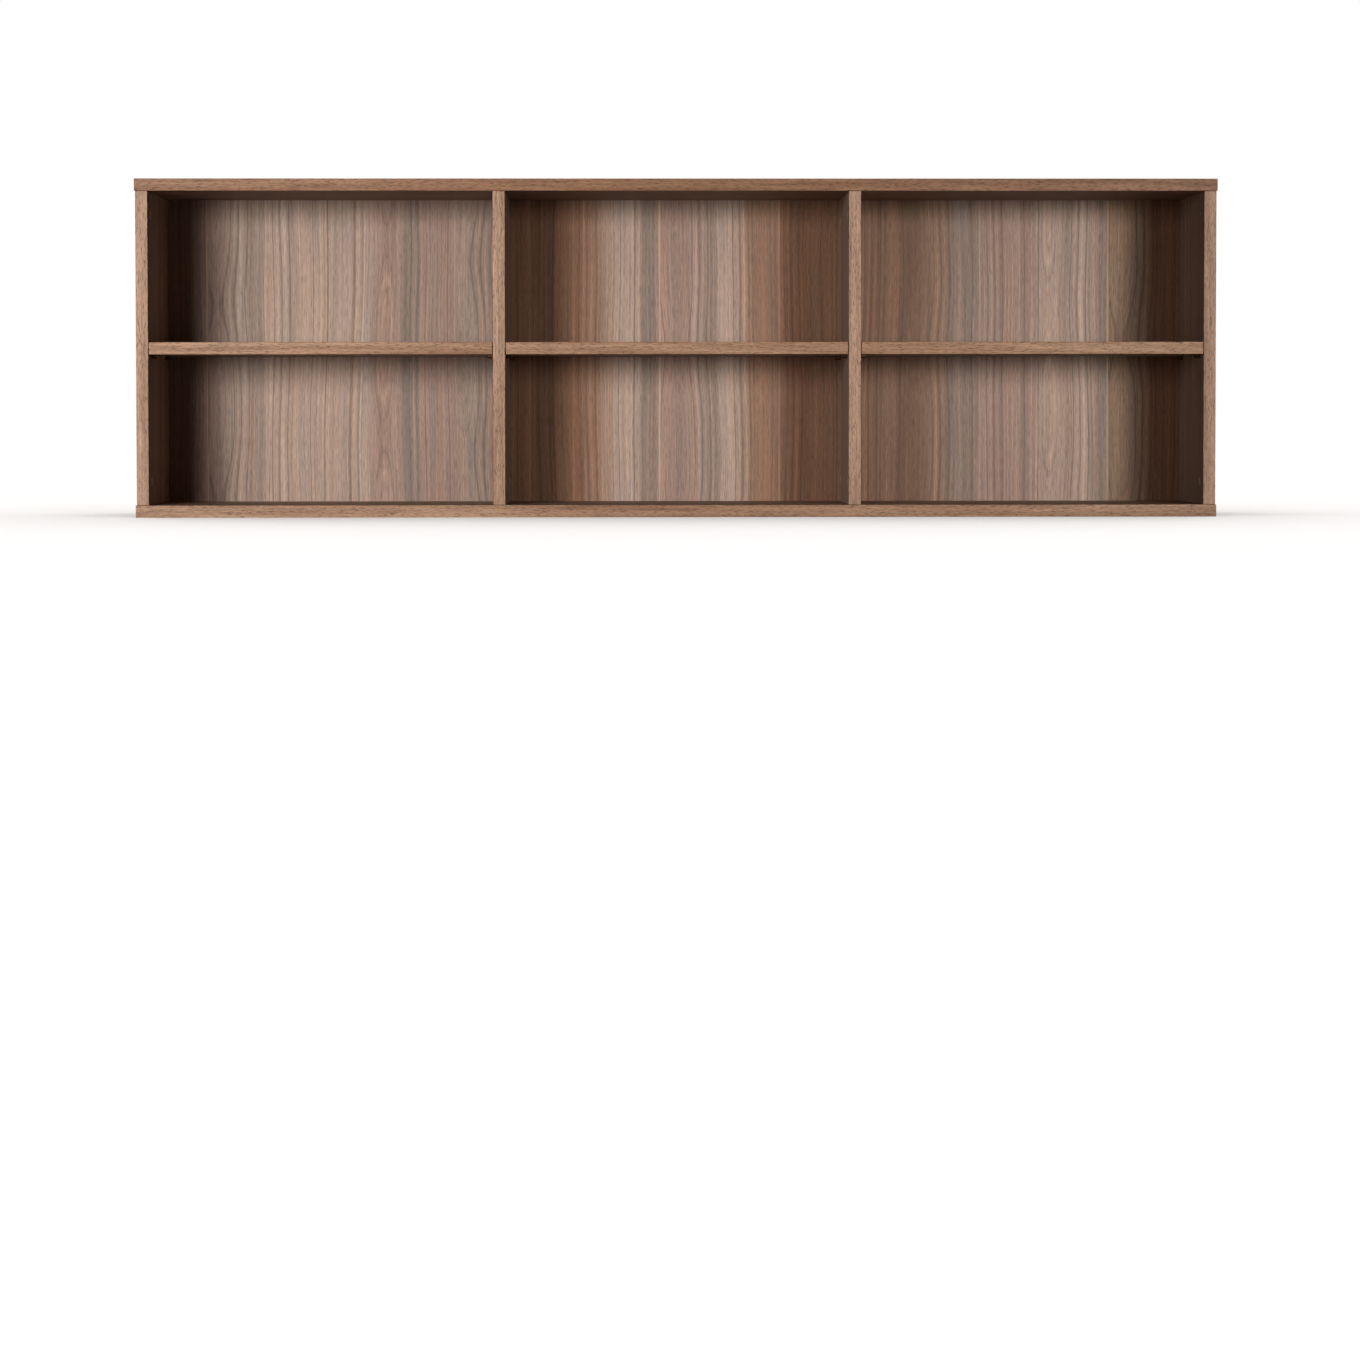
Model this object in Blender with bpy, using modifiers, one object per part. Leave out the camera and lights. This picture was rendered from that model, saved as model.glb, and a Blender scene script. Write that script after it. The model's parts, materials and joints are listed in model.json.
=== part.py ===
"""Desk hutch: an open case of walnut-finish board, three bays wide and two rows high.

The top and bottom panels cap four upright boards. Each upright is pulled tight against both
panels by cam locks: a bolt screwed into the panel passes up the upright's end grain into a cam.
A thin back sheet sits in a groove, and one loose shelf rests on four pins in each bay.

Metres. +X is the width, -Y the open front and +Z is up. The origin is the middle of the
footprint, on the surface that the hutch stands on.
"""
import math

import bmesh
import bpy
from mathutils import Matrix, Vector

# Driving dimensions.
WIDTH = 1.600
DEPTH = 0.250
HEIGHT = 0.500
BOARD = 0.018
BAYS = 3

# How the boards meet.
END_REVEAL = 0.0015       # the top and bottom stand proud of the side boards by this much
FRONT_REVEAL = 0.001      # and proud of every upright's front edge
EASE = 0.0006             # small chamfer along every board edge
GAP = 0.0003              # between pieces that touch

# Back sheet in its groove.
SHEET = 0.0032
SHEET_INSET = 0.016       # from the case's rear edge to the sheet's rear face
GROOVE_DEPTH = 0.007

# Loose shelves.
SHELF_END_GAP = 0.001
SHELF_BACK_GAP = 0.002

# Rows of fittings, measured back from the front edge of the case.
FRONT_ROW = 0.037
REAR_ROW = FRONT_ROW + 5 * 0.032

# Cam lock.
CAM_FROM_END = 0.034      # from the upright's end to the cam's centre
CAM_BORE_RADIUS = 0.0075
CAM_BORE_DEPTH = 0.0140
CAM_RADIUS = 0.0072
CAM_LENGTH = 0.0136
CAM_SUNK = 0.0002         # the cam's face lies this far below the board's face
CROSS_LENGTH = 0.0080
CROSS_WIDTH = 0.0016
CROSS_DEPTH = 0.0025
BOLT_WAY_RADIUS = 0.0037
BOLT_WAY_PAST_CENTRE = 0.0030

# Cam bolt.
BOLT_HEAD_RADIUS = 0.0032
BOLT_HEAD_LENGTH = 0.0025
BOLT_SHAFT_RADIUS = 0.0024
BOLT_COLLAR_RADIUS = 0.0036
BOLT_COLLAR_LENGTH = 0.0020
BOLT_THREAD_RADIUS = 0.0030
BOLT_THREAD_LENGTH = 0.0110
END_BORE_RADIUS = 0.0040
THREAD_BORE_RADIUS = 0.0034
THREAD_BORE_DEPTH = 0.0115

# Shelf pin.
PIN_SHANK_RADIUS = 0.0025
PIN_SHANK_LENGTH = 0.0078
PIN_BORE_RADIUS = 0.0029
PIN_BORE_DEPTH = 0.0081
PIN_HEAD_RADIUS = 0.0040
PIN_HEAD_LENGTH = 0.0085
PIN_FLAT = 0.0015         # height of the head's flat seat above the pin's axis

# Sides of the round shapes, and how far a cutter starts outside the surface it enters.
FINE_SIDES = 20
SMALL_SIDES = 10
OVERCUT = 0.001

X_AXIS = Vector((1, 0, 0))
Y_AXIS = Vector((0, 1, 0))
Z_AXIS = Vector((0, 0, 1))

# Derived places.
FRONT = -DEPTH / 2
REAR = DEPTH / 2
SIDE_OUTER = WIDTH / 2 - END_REVEAL
SIDE_INNER = SIDE_OUTER - BOARD
BAY_WIDTH = (2 * SIDE_INNER - (BAYS - 1) * BOARD) / BAYS
SHEET_FRONT = REAR - SHEET_INSET - SHEET
SHELF_BOTTOM = (HEIGHT - BOARD) / 2
PIN_AXIS_Z = SHELF_BOTTOM - GAP - PIN_FLAT
FITTING_ROWS = {"front": FRONT + FRONT_ROW, "rear": FRONT + REAR_ROW}


def clear_scene():
    """Remove whatever the file opened with."""
    for item in list(bpy.data.objects):
        bpy.data.objects.remove(item, do_unlink=True)
    for collection in list(bpy.data.collections):
        bpy.data.collections.remove(collection)


def new_collection(name):
    """Make a collection in the scene."""
    collection = bpy.data.collections.new(name)
    bpy.context.scene.collection.children.link(collection)
    return collection


def make_material(name, colour, roughness, metallic=0.0):
    """Make a Principled material from a linear colour."""
    material = bpy.data.materials.new(name)
    material.use_nodes = True
    shader = material.node_tree.nodes["Principled BSDF"]
    shader.inputs["Base Color"].default_value = (*colour, 1.0)
    shader.inputs["Roughness"].default_value = roughness
    shader.inputs["Metallic"].default_value = metallic
    material.diffuse_color = (*colour, 1.0)
    return material


def new_object(name, mesh, collection, material=None):
    """Link an object that shows the given mesh."""
    item = bpy.data.objects.new(name, mesh)
    collection.objects.link(item)
    if material is not None and not mesh.materials:
        mesh.materials.append(material)
    return item


def mesh_from(bm, name):
    """Turn a bmesh into a mesh and free it."""
    mesh = bpy.data.meshes.new(name)
    bm.to_mesh(mesh)
    bm.free()
    return mesh


def box_mesh(name, size):
    """Make a box of the given size about its own centre."""
    bm = bmesh.new()
    bmesh.ops.create_cube(bm, size=1.0, matrix=Matrix.Diagonal((*size, 1.0)))
    return mesh_from(bm, name)


def aim(location, forward, up):
    """Give a matrix that turns local +Z to forward and local +X to up."""
    side = forward.cross(up)
    turn = Matrix((up, side, forward)).transposed().to_4x4()
    return Matrix.Translation(location) @ turn


def drill(bm, mouth, inward, radius, depth, sides):
    """Add a drill's cylinder that enters a surface at mouth and goes inward."""
    length = depth + OVERCUT
    middle = mouth + inward * (depth - OVERCUT) / 2
    turn = inward.to_track_quat("Z", "Y").to_matrix().to_4x4()
    bmesh.ops.create_cone(
        bm, cap_ends=True, segments=sides, radius1=radius, radius2=radius, depth=length,
        matrix=Matrix.Translation(middle) @ turn)


def cut(item, cutter, operation="DIFFERENCE"):
    """Cut one object with another, or join the two."""
    boolean = item.modifiers.new(cutter.name, "BOOLEAN")
    boolean.operation = operation
    boolean.solver = "EXACT"
    boolean.object = cutter


def add_cutter(name, mesh, cutters, location=(0, 0, 0)):
    """Place a cutter, drawn as a wire and left out of the model."""
    item = new_object(name, mesh, cutters)
    item.location = location
    item.hide_render = True
    item.display_type = "WIRE"
    return item


def add_board(name, low, high, hutch, colour, roughness):
    """Add a board between two corners, with eased edges."""
    low = Vector(low)
    high = Vector(high)
    material = make_material(name, colour, roughness)
    board = new_object(name, box_mesh(name, high - low), hutch, material)
    board.location = (low + high) / 2
    bevel = board.modifiers.new("eased edges", "BEVEL")
    bevel.width = EASE
    bevel.segments = 1
    return board


def bake(item, name):
    """Turn an object's modified shape into a plain mesh and remove the object."""
    bpy.context.view_layer.update()
    graph = bpy.context.evaluated_depsgraph_get()
    mesh = bpy.data.meshes.new_from_object(item.evaluated_get(graph))
    mesh.name = name
    bpy.data.objects.remove(item, do_unlink=True)
    mesh.shade_smooth()
    mesh.set_sharp_from_angle(angle=math.radians(35))
    return mesh


def make_cam_mesh(cutters):
    """Make a cam: face at z = 0, body below it, and the bolt's way in from +X."""
    bm = bmesh.new()
    bmesh.ops.create_cone(
        bm, cap_ends=True, segments=FINE_SIDES, radius1=CAM_RADIUS, radius2=CAM_RADIUS,
        depth=CAM_LENGTH, matrix=Matrix.Translation((0, 0, -CAM_LENGTH / 2)))
    cam = new_object("cam", mesh_from(bm, "cam"), cutters)

    way = bmesh.new()
    mouth = Vector((CAM_RADIUS, 0, CAM_SUNK - BOARD / 2))
    drill(way, mouth, -X_AXIS, BOLT_WAY_RADIUS, CAM_RADIUS + BOLT_WAY_PAST_CENTRE, SMALL_SIDES)
    tools = [add_cutter("cam_way", mesh_from(way, "cam_way"), cutters)]
    long_slot = (CROSS_LENGTH, CROSS_WIDTH, 2 * CROSS_DEPTH)
    cross_slot = (CROSS_WIDTH, CROSS_LENGTH, 2 * CROSS_DEPTH)
    tools.append(add_cutter("cam_slot", box_mesh("cam_slot", long_slot), cutters))
    tools.append(add_cutter("cam_cross_slot", box_mesh("cam_cross_slot", cross_slot), cutters))
    for tool in tools:
        cut(cam, tool)
    mesh = bake(cam, "cam")
    for tool in tools:
        bpy.data.objects.remove(tool, do_unlink=True)
    return mesh


def make_bolt_mesh(cutters):
    """Turn a cam bolt: z = 0 is the joint face, the head is at +Z and the thread at -Z."""
    tip = CAM_FROM_END + BOLT_HEAD_LENGTH / 2
    neck = tip - BOLT_HEAD_LENGTH
    collar_top = GAP + BOLT_COLLAR_LENGTH
    outline = [
        (0, tip),
        (BOLT_HEAD_RADIUS, tip),
        (BOLT_HEAD_RADIUS, neck),
        (BOLT_SHAFT_RADIUS, neck),
        (BOLT_SHAFT_RADIUS, collar_top),
        (BOLT_COLLAR_RADIUS, collar_top),
        (BOLT_COLLAR_RADIUS, GAP),
        (BOLT_THREAD_RADIUS, GAP),
        (BOLT_THREAD_RADIUS, -BOLT_THREAD_LENGTH),
        (0, -BOLT_THREAD_LENGTH),
    ]
    bm = bmesh.new()
    points = [bm.verts.new((radius, 0, height)) for radius, height in outline]
    for start, end in zip(points, points[1:]):
        bm.edges.new((start, end))
    bolt = new_object("bolt", mesh_from(bm, "bolt"), cutters)
    screw = bolt.modifiers.new("turn", "SCREW")
    screw.steps = SMALL_SIDES
    screw.render_steps = SMALL_SIDES
    screw.use_merge_vertices = True
    screw.merge_threshold = 0.00001
    return bake(bolt, "bolt")


def make_pin_mesh(cutters):
    """Make a shelf pin: z = 0 is the board's face, the head is at +Z with its flat facing +X."""
    head = bmesh.new()
    middle = (0, 0, GAP + PIN_HEAD_LENGTH / 2)
    bmesh.ops.create_cone(
        head, cap_ends=True, segments=FINE_SIDES, radius1=PIN_HEAD_RADIUS,
        radius2=PIN_HEAD_RADIUS, depth=PIN_HEAD_LENGTH, matrix=Matrix.Translation(middle))
    pin = new_object("pin", mesh_from(head, "pin"), cutters)

    shank = bmesh.new()
    length = PIN_SHANK_LENGTH + GAP + OVERCUT
    middle = (0, 0, GAP + OVERCUT - length / 2)
    bmesh.ops.create_cone(
        shank, cap_ends=True, segments=SMALL_SIDES, radius1=0.8 * PIN_SHANK_RADIUS,
        radius2=PIN_SHANK_RADIUS, depth=length, matrix=Matrix.Translation(middle))
    shank_tool = add_cutter("pin_shank", mesh_from(shank, "pin_shank"), cutters)
    cut(pin, shank_tool, "UNION")

    flat_size = Vector((PIN_HEAD_RADIUS, 3 * PIN_HEAD_RADIUS, PIN_HEAD_LENGTH + OVERCUT))
    flat_place = (PIN_FLAT + flat_size.x / 2, 0, flat_size.z / 2)
    flat = add_cutter("pin_flat", box_mesh("pin_flat", flat_size), cutters, flat_place)
    cut(pin, flat)
    mesh = bake(pin, "pin")
    bpy.data.objects.remove(flat, do_unlink=True)
    bpy.data.objects.remove(shank_tool, do_unlink=True)
    return mesh


def upright_centres():
    """Give each upright's name and the X of its middle plane, from left to right."""
    names = ["left_side", "left_partition", "right_partition", "right_side"]
    first = -SIDE_OUTER + BOARD / 2
    return {name: first + index * (BAY_WIDTH + BOARD) for index, name in enumerate(names)}


def cam_face(centre):
    """Give the X of the face that an upright's cams open on, and that face's direction."""
    outward = -1 if centre > 0 else 1
    return centre + outward * BOARD / 2, outward * X_AXIS


def pin_faces(name, centre):
    """Give the face X and direction of each side of an upright that carries shelf pins."""
    faces = []
    if name != "right_side":
        faces.append((centre + BOARD / 2, X_AXIS))
    if name != "left_side":
        faces.append((centre - BOARD / 2, -X_AXIS))
    return faces


def add_back_sheet(hutch, cutters):
    """Add the back sheet, and the cutter of the groove that holds it."""
    reach = SIDE_INNER + GROOVE_DEPTH
    low = Vector((-reach, SHEET_FRONT, BOARD - GROOVE_DEPTH))
    high = Vector((reach, SHEET_FRONT + SHEET, HEIGHT - BOARD + GROOVE_DEPTH))
    material = make_material("back_panel", (0.33, 0.23, 0.18), 0.55)
    sheet = new_object("back_panel", box_mesh("back_panel", high - low), hutch, material)
    sheet.location = (low + high) / 2
    room = high - low + 2 * Vector((GAP, GAP, GAP))
    return add_cutter("back_groove", box_mesh("back_groove", room), cutters, sheet.location)


def add_upright(name, centre, groove, hutch, cutters):
    """Add a side or partition, bored for its cams, their bolts and its shelf pins."""
    is_side = name.endswith("side")
    rear = REAR if is_side else SHEET_FRONT - GAP
    low = (centre - BOARD / 2, FRONT + FRONT_REVEAL, BOARD + GAP)
    high = (centre + BOARD / 2, rear, HEIGHT - BOARD - GAP)
    board = add_board(name, low, high, hutch, (0.30, 0.19, 0.13), 0.45)

    face_bores = bmesh.new()
    end_bores = bmesh.new()
    face_x, outward = cam_face(centre)
    for y in FITTING_ROWS.values():
        for end_z, inward in ((BOARD, Z_AXIS), (HEIGHT - BOARD, -Z_AXIS)):
            cam_centre = Vector((face_x, y, end_z)) + inward * CAM_FROM_END
            drill(face_bores, cam_centre, -outward, CAM_BORE_RADIUS, CAM_BORE_DEPTH, FINE_SIDES)
            end_mouth = Vector((centre, y, end_z))
            drill(end_bores, end_mouth, inward, END_BORE_RADIUS, CAM_FROM_END, SMALL_SIDES)
        for pin_x, pin_outward in pin_faces(name, centre):
            mouth = Vector((pin_x, y, PIN_AXIS_Z))
            drill(face_bores, mouth, -pin_outward, PIN_BORE_RADIUS, PIN_BORE_DEPTH, SMALL_SIDES)
    cut(board, add_cutter(name + "_face_bores", mesh_from(face_bores, "face_bores"), cutters))
    cut(board, add_cutter(name + "_end_bores", mesh_from(end_bores, "end_bores"), cutters))
    if is_side:
        cut(board, groove)


def add_cap_panel(name, bottom_z, joint_z, into_panel, groove, hutch, cutters):
    """Add the top or bottom panel, bored for the threads of the cam bolts."""
    low = (-WIDTH / 2, FRONT, bottom_z)
    high = (WIDTH / 2, REAR, bottom_z + BOARD)
    panel = add_board(name, low, high, hutch, (0.28, 0.17, 0.12), 0.45)
    bores = bmesh.new()
    for x in upright_centres().values():
        for y in FITTING_ROWS.values():
            mouth = Vector((x, y, joint_z))
            drill(bores, mouth, into_panel, THREAD_BORE_RADIUS, THREAD_BORE_DEPTH, SMALL_SIDES)
    cut(panel, add_cutter(name + "_bores", mesh_from(bores, name + "_bores"), cutters))
    cut(panel, groove)


def add_shelves(hutch):
    """Add one loose shelf to each bay."""
    for index, name in enumerate(("left_shelf", "middle_shelf", "right_shelf")):
        bay_left = -SIDE_INNER + index * (BAY_WIDTH + BOARD)
        low = (bay_left + SHELF_END_GAP, FRONT + FRONT_REVEAL, SHELF_BOTTOM)
        high = (bay_left + BAY_WIDTH - SHELF_END_GAP, SHEET_FRONT - SHELF_BACK_GAP,
                SHELF_BOTTOM + BOARD)
        add_board(name, low, high, hutch, (0.30, 0.19, 0.13), 0.45)


def add_copy(name, mesh, matrix, hutch):
    """Add one copy of a small fitting, which shares its mesh with the others."""
    item = new_object(name, mesh, hutch)
    item.matrix_world = matrix
    return item


def add_cam_locks(hutch, cutters):
    """Add a cam and its bolt at every meeting of an upright with the top and bottom."""
    cam_mesh = make_cam_mesh(cutters)
    cam_mesh.materials.append(make_material("cam", (0.55, 0.55, 0.56), 0.35, 1.0))
    bolt_mesh = make_bolt_mesh(cutters)
    bolt_mesh.materials.append(make_material("cam_bolt", (0.50, 0.49, 0.47), 0.30, 1.0))
    ends = {"top": (HEIGHT - BOARD, -Z_AXIS), "bottom": (BOARD, Z_AXIS)}
    for upright, centre in upright_centres().items():
        face_x, outward = cam_face(centre)
        for end, (end_z, inward) in ends.items():
            for row, y in FITTING_ROWS.items():
                label = f"{upright}_{end}_{row}"
                face = Vector((face_x, y, end_z)) + inward * CAM_FROM_END - outward * CAM_SUNK
                add_copy(label + "_cam", cam_mesh, aim(face, outward, -inward), hutch)
                joint = Vector((centre, y, end_z))
                add_copy(label + "_bolt", bolt_mesh, aim(joint, inward, X_AXIS), hutch)


def add_shelf_pins(hutch, cutters):
    """Add four pins under each shelf, two in each upright beside it."""
    pin_mesh = make_pin_mesh(cutters)
    pin_mesh.materials.append(make_material("shelf_pin", (0.60, 0.59, 0.56), 0.25, 1.0))
    for upright, centre in upright_centres().items():
        for face_x, outward in pin_faces(upright, centre):
            hand = "right" if outward.x > 0 else "left"
            for row, y in FITTING_ROWS.items():
                name = f"{upright}_{hand}_{row}_pin"
                place = aim(Vector((face_x, y, PIN_AXIS_Z)), outward, Z_AXIS)
                add_copy(name, pin_mesh, place, hutch)


def main():
    """Build the hutch."""
    clear_scene()
    hutch = new_collection("desk_hutch")
    cutters = new_collection("cutters")
    groove = add_back_sheet(hutch, cutters)
    for name, centre in upright_centres().items():
        add_upright(name, centre, groove, hutch, cutters)
    add_cap_panel("bottom_panel", 0.0, BOARD, -Z_AXIS, groove, hutch, cutters)
    top_z = HEIGHT - BOARD
    add_cap_panel("top_panel", top_z, top_z, Z_AXIS, groove, hutch, cutters)
    add_shelves(hutch)
    add_cam_locks(hutch, cutters)
    add_shelf_pins(hutch, cutters)


main()
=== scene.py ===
"""Looks of the desk hutch: banded boards with a walnut print, metal fittings, floor and light.

Metres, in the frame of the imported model: +X is the width, -Y the open front and +Z is up.
Each board is a laminated core with edge bands glued round it, cut for its fittings.
"""
import json
import math

import bmesh
import bpy
from mathutils import Euler, Matrix, Vector


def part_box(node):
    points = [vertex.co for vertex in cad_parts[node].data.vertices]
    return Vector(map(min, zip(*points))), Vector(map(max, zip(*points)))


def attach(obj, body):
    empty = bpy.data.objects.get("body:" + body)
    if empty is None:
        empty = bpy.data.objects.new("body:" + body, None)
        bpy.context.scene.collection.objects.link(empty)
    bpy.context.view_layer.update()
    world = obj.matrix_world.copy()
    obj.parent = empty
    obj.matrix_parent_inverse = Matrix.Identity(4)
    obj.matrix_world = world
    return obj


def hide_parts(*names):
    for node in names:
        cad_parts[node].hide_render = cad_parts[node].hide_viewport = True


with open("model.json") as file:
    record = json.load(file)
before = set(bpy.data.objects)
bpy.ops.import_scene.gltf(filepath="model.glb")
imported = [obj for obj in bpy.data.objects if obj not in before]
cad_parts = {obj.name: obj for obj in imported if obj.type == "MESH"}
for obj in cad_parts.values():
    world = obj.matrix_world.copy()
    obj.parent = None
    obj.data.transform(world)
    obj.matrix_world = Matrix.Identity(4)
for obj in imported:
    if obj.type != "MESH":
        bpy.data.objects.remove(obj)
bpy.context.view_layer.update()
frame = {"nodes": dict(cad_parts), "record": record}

# Boards.
BAND = 0.001              # thickness of the edge bands on visible edges
THIN_BAND = 0.0004        # thickness of the bands on a shelf's ends and rear edge
BAND_ROUND = 0.0009       # rounding along a band's outer corners
GLUE_LINE = 0.00006       # hairline between a band and its board
CORE_EASE = 0.00012       # softened corner of the laminated core
CLEARANCE = 0.0003        # round every fitting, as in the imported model

# Fittings.
CAM_RIM = 0.0004          # chamfer round a cam's face
CROSS_LENGTH = 0.0080     # the cam's cross slot
CROSS_WIDTH = 0.0016
CROSS_DEPTH = 0.0022
MARK_SIZE = 0.0017        # the cam's three-sided pointer
MARK_DEPTH = 0.0006
MARK_PLACE = 0.74         # how far out the pointer lies, as a part of the radius
PIN_BORE = 0.0029         # radii of a shelf pin's bore, head and shank
PIN_HEAD = 0.0040
PIN_SHANK = 0.0025
PIN_RIM = 0.0005          # rounding of the head's end
PIN_HEAD_START = 0.0081   # from the pin's inner end to its head
PIN_STEP = 0.0003         # the head's flat starts this far before the head does
FINE_SIDES = 48
SHANK_SIDES = 32
BOLT_SIDES = 24
OVERCUT = 0.001           # how far a cutter runs past the face that it enters

# Camera, found by matching the boards' edges.
CAMERA_PLACE = (-0.0681, -5.2518, 0.1554)
CAMERA_PITCH = 1.960      # degrees below the horizon
CAMERA_YAW = 0.807        # degrees to the right of +Y
CAMERA_ROLL = -0.043
SENSOR = 36.0             # millimetres
FOCAL = 91.71             # millimetres
SHIFT_UP = -0.1098

# Studio.
BACKDROP = 1.0            # brightness of the floor and of the backdrop
FLOOR_REACH = 200.0       # half the floor's width
FLOOR_PALE = 0.90         # the floor's middle tone
FLOOR_CLOUD = 0.01        # how far that tone drifts either way
FLOOR_RETURN = (0.10, 0.08, 0.06, 1.0)    # what the floor throws back up on the object
FLOOR_LIGHT_WIDTH = 150.0                 # degrees of sky that the floor's light fills
ROOM_TONE = (1.0, 0.55, 0.24, 1.0)
ROOM_LIGHT = 0.050

# Each softbox: name, place, what it points at, width, height, watts and spread in degrees.
SOFTBOXES = [
    ("left_key", (-1.91, -3.5, 0.58), (-0.58, 0.1, 0.22), 1.4, 1.1, 7.6, 30.0),
    ("right_key", (2.05, -3.5, 0.53), (0.69, 0.1, 0.22), 1.4, 1.1, 4.1, 20.0),
    ("overhead", (0.0, 1.6, 3.0), (0.0, 0.1, 0.4), 2.4, 1.4, 12.0, 80.0),
    ("rear_left", (-2.0, 2.6, 1.6), (0.0, 0.1, 0.25), 1.6, 1.2, 14.0, 100.0),
    ("rear_right", (2.2, 2.4, 1.4), (0.0, 0.1, 0.25), 1.6, 1.2, 10.0, 100.0),
]

X_AXIS = Vector((1, 0, 0))
Y_AXIS = Vector((0, 1, 0))
Z_AXIS = Vector((0, 0, 1))

BODY_OF = {node: body for body, nodes in frame["record"]["behaviour"]["bodies"].items()
           for node in nodes}
SLOT_OF = {row["node"]: row["material_slot"] for row in frame["record"]["subparts"]}


# ---------------------------------------------------------------- materials

def tint(red, green, blue):
    """Turn a colour given as 0 to 255 on screen into linear light."""
    return tuple((value / 255) ** 2.2 for value in (red, green, blue)) + (1.0,)


class Net:
    """Short ways to build one material's nodes."""

    def __init__(self, name):
        self.material = bpy.data.materials.new(name)
        self.material.use_nodes = True
        self.tree = self.material.node_tree
        self.shader = self.tree.nodes["Principled BSDF"]
        self.place = None

    def node(self, kind, **settings):
        """Add a node and give it its settings."""
        made = self.tree.nodes.new("ShaderNode" + kind)
        for key, value in settings.items():
            setattr(made, key, value)
        return made

    def feed(self, socket, value):
        """Link a socket to an output, or set its number or colour."""
        if isinstance(value, bpy.types.NodeSocket):
            self.tree.links.new(value, socket)
        else:
            socket.default_value = value

    def math(self, operation, *values):
        """Work out one number from others."""
        made = self.node("Math", operation=operation)
        for socket, value in zip(made.inputs, values):
            self.feed(socket, value)
        return made.outputs[0]

    def add(self, *values):
        """Add numbers together."""
        total = values[0]
        for value in values[1:]:
            total = self.math("ADD", total, value)
        return total

    def times(self, first, second):
        """Multiply two numbers."""
        return self.math("MULTIPLY", first, second)

    def axes(self):
        """Give the object's own X, Y and Z."""
        if self.place is None:
            split = self.node("SeparateXYZ")
            self.feed(split.inputs[0], self.node("TexCoord").outputs["Object"])
            self.place = dict(zip("XYZ", split.outputs))
        return self.place

    def point(self, x, y=0.0, z=0.0):
        """Join three numbers into a point."""
        made = self.node("CombineXYZ")
        for socket, value in zip(made.inputs, (x, y, z)):
            self.feed(socket, value)
        return made.outputs[0]

    def noise(self, point, detail=2.0, roughness=0.5, scale=1.0):
        """Give smooth noise from 0 to 1 at a point."""
        made = self.node("TexNoise", noise_dimensions="3D")
        self.feed(made.inputs["Vector"], point)
        self.feed(made.inputs["Scale"], scale)
        self.feed(made.inputs["Detail"], detail)
        self.feed(made.inputs["Roughness"], roughness)
        return made.outputs[0]

    def fibres(self, across, along, rates, seed, detail=2.0, roughness=0.5):
        """Give noise drawn out along the grain, at so many waves a metre across and along."""
        place = self.point(self.times(across, rates[0]), self.times(along, rates[1]), seed)
        return self.noise(place, detail=detail, roughness=roughness)

    def line_noise(self, number, detail=2.0, roughness=0.5):
        """Give smooth noise from 0 to 1 along one number."""
        made = self.node("TexNoise", noise_dimensions="1D")
        self.feed(made.inputs["W"], number)
        self.feed(made.inputs["Scale"], 1.0)
        self.feed(made.inputs["Detail"], detail)
        self.feed(made.inputs["Roughness"], roughness)
        return made.outputs[0]

    def ramp(self, factor, stops):
        """Look a number up in a list of (place, colour)."""
        made = self.node("ValToRGB")
        points = made.color_ramp.elements
        while len(points) < len(stops):
            points.new(1.0)
        for element, (where, colour) in zip(points, stops):
            element.position = where
            element.color = colour
        self.feed(made.inputs[0], factor)
        return made.outputs[0]

    def span(self, value, low, high, new_low=0.0, new_high=1.0):
        """Stretch one range of a number onto another, and clamp it."""
        made = self.node("MapRange", clamp=True)
        for socket, number in zip(made.inputs, (value, low, high, new_low, new_high)):
            self.feed(socket, number)
        return made.outputs[0]

    def shade(self, colour, *layers):
        """Darken and lighten a colour; a layer is noise, its range and the shades at its ends."""
        total = None
        for value, (low, high), (dark, light) in layers:
            step = self.span(value, low, high, dark, light)
            total = step if total is None else self.times(total, step)
        return self.mix(1.0, colour, self.point(total, total, total), "MULTIPLY")

    def mix(self, factor, first, second, blend="MIX"):
        """Mix two colours."""
        made = self.node("Mix", data_type="RGBA", blend_type=blend)
        self.feed(made.inputs["Factor"], factor)
        self.feed(made.inputs["A"], first)
        self.feed(made.inputs["B"], second)
        return made.outputs["Result"]

    def bump(self, height, distance, strength=1.0):
        """Raise the surface by a height map."""
        made = self.node("Bump")
        self.feed(made.inputs["Height"], height)
        self.feed(made.inputs["Distance"], distance)
        self.feed(made.inputs["Strength"], strength)
        self.feed(self.shader.inputs["Normal"], made.outputs[0])

    def finish(self, colour, roughness, metallic=0.0, specular=0.5):
        """Set the shader's colour and surface."""
        self.feed(self.shader.inputs["Base Color"], colour)
        self.feed(self.shader.inputs["Roughness"], roughness)
        self.shader.inputs["Metallic"].default_value = metallic
        self.shader.inputs["Specular IOR Level"].default_value = specular
        return self.material


# Walnut print: the tones of its leaves, the dark lines in them and the seams between them.
PALE = tint(168, 145, 131)
ROSE = tint(157, 131, 118)
GREY = tint(151, 130, 117)
SLATE = tint(139, 120, 109)
SAND = tint(153, 125, 105)
BROWN = tint(144, 112, 93)
UMBER = tint(136, 101, 81)
OLIVE = tint(138, 111, 93)
SEAM_TONE = tint(200, 164, 132)
COOL_LINE = tint(86, 73, 68)
COOL_CAST = (0.92, 0.95, 0.97, 1.0)
NO_CAST = (0.97, 0.97, 0.96, 1.0)
WARM_CAST = (1.05, 1.00, 0.95, 1.0)
WARM_BAND = [tint(134, 98, 74), tint(154, 118, 92), tint(170, 135, 108)]
DEEP_BAND = [tint(124, 87, 63), tint(141, 103, 76), tint(156, 118, 90)]
PALE_BAND = [tint(143, 111, 89), tint(166, 132, 109), tint(180, 147, 124)]
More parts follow.
